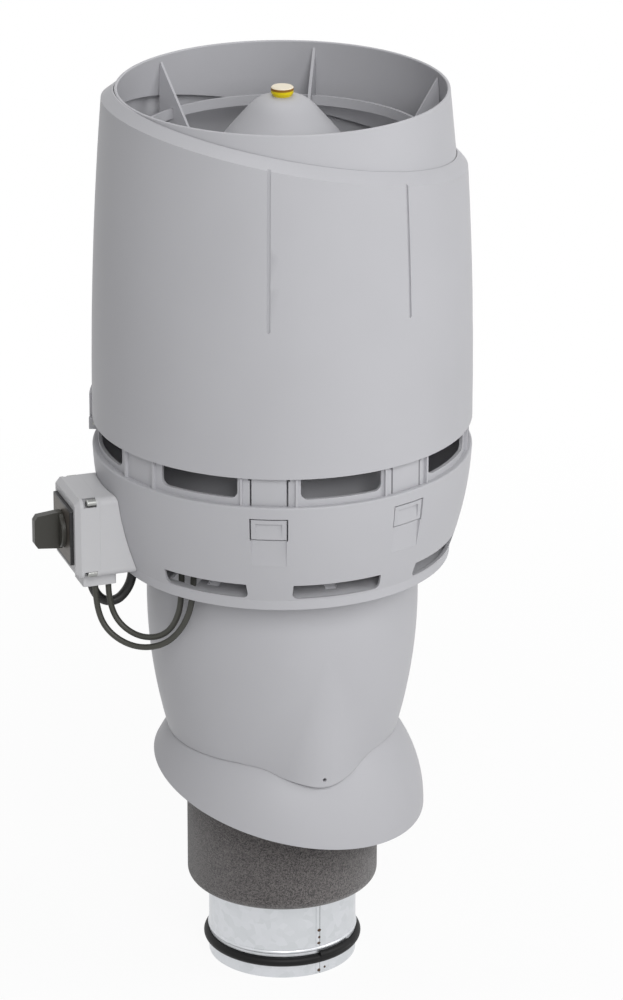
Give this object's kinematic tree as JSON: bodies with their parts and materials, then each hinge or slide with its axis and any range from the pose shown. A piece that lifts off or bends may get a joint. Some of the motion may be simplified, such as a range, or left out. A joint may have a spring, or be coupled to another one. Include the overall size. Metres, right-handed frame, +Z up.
{
  "type": "roof exhaust fan",
  "caption": "Roof exhaust fan with slanted hood, vaned outlet collar, windowed base ring with latches, isolator switch box, ball-shaped roof skirt and insulated duct stub.",
  "frame": {"origin": "on the duct axis at the duct's lower end", "axes": "+Z up along the duct and fan axis, -X towards the isolator switch box"},
  "size_m": [0.3668, 0.3098, 0.7602],
  "materials": {
    "grey_plastic": "fine satin moulded",
    "box_plastic": "satin moulded",
    "galvanised_steel": "bright zinc coat with faint spangle",
    "zinc_steel": "zinc plated",
    "cast_aluminium": "as cast",
    "seal_rubber": "matt black",
    "foam": "speckled bead foam",
    "black_plastic": "satin black",
    "knob_plastic": "satin dark grey",
    "face_plate": "dark brushed",
    "impeller_plastic": "matt dark grey",
    "cable_sheath": "matt dark grey",
    "supply_sheath": "matt black",
    "plug_plastic": "cream and yellow moulded"
  },
  "bodies": {
    "base": {"inner_duct": "galvanised_steel", "duct_seal": "seal_rubber", "insulation_sleeve": "foam", "roof_skirt": "grey_plastic", "stand_cover": "grey_plastic", "base_ring": "grey_plastic", "stand_screws": "zinc_steel", "deck_plate": "grey_plastic", "inlet_nozzle": "galvanised_steel", "nozzle_screws": "zinc_steel", "hinge_pin": "zinc_steel", "latch_pins": "zinc_steel", "switch_box_base": "box_plastic", "switch_box_cover": "box_plastic", "cover_screws": "zinc_steel", "switch_bezel": "black_plastic", "switch_face": "face_plate", "switch_body": "black_plastic", "gland_block": "box_plastic", "cable_clamp": "black_plastic", "cable_grommet": "seal_rubber", "lead_a": "cable_sheath", "lead_b": "cable_sheath", "supply_cable": "supply_sheath"},
    "hood": {"hood_shell": "grey_plastic", "outlet_collar": "grey_plastic", "outlet_vanes": "grey_plastic", "vane_ring": "grey_plastic", "inner_casing": "grey_plastic", "motor_dome": "grey_plastic", "dome_plug": "plug_plastic", "motor_plate": "zinc_steel", "plate_screws": "zinc_steel", "motor_stator": "cast_aluminium", "stator_screws": "zinc_steel", "motor_bearings": "zinc_steel"},
    "rotor": {"impeller": "impeller_plastic", "impeller_disc": "impeller_plastic", "rotor_can": "cast_aluminium", "rotor_shaft": "zinc_steel", "impeller_screws": "zinc_steel"},
    "knob": {"switch_knob": "knob_plastic", "switch_spindle": "zinc_steel"},
    "latch_1": {"latch_lever_1": "grey_plastic"},
    "latch_2": {"latch_lever_2": "grey_plastic"},
    "latch_3": {"latch_lever_3": "grey_plastic"},
    "latch_4": {"latch_lever_4": "grey_plastic"}
  },
  "joints": [
    {"name": "hood_tilt", "type": "hinge", "parent": "base", "child": "hood", "pos_m": [-0.14098, 0.0584, 0.4765], "axis": [-0.3827, -0.9239, 0], "range_deg": [0, 70]},
    {"name": "fan_spin", "type": "hinge", "parent": "hood", "child": "rotor", "pos_m": [0, 0, 0.58], "axis": [0, 0, 1], "continuous": true},
    {"name": "switch_turn", "type": "hinge", "parent": "base", "child": "knob", "pos_m": [-0.185, 0, 0.406], "axis": [-1, 0, 0], "range_deg": [0, 90]},
    {"name": "latch_1_press", "type": "hinge", "parent": "base", "child": "latch_1", "pos_m": [-0.05491, -0.13258, 0.455], "axis": [-0.9239, 0.3827, 0], "range_deg": [0, 4], "stiffness_Nm_per_rad": 1, "springref_deg": -2.86},
    {"name": "latch_2_press", "type": "hinge", "parent": "base", "child": "latch_2", "pos_m": [0.05491, -0.13258, 0.455], "axis": [-0.9239, -0.3827, 0], "range_deg": [0, 4], "stiffness_Nm_per_rad": 1, "springref_deg": -2.86},
    {"name": "latch_3_press", "type": "hinge", "parent": "base", "child": "latch_3", "pos_m": [0.13258, 0.05491, 0.455], "axis": [0.3827, -0.9239, 0], "range_deg": [0, 4], "stiffness_Nm_per_rad": 1, "springref_deg": -2.86},
    {"name": "latch_4_press", "type": "hinge", "parent": "base", "child": "latch_4", "pos_m": [0.05491, 0.13258, 0.455], "axis": [0.9239, -0.3827, 0], "range_deg": [0, 4], "stiffness_Nm_per_rad": 1, "springref_deg": -2.86}
  ]
}
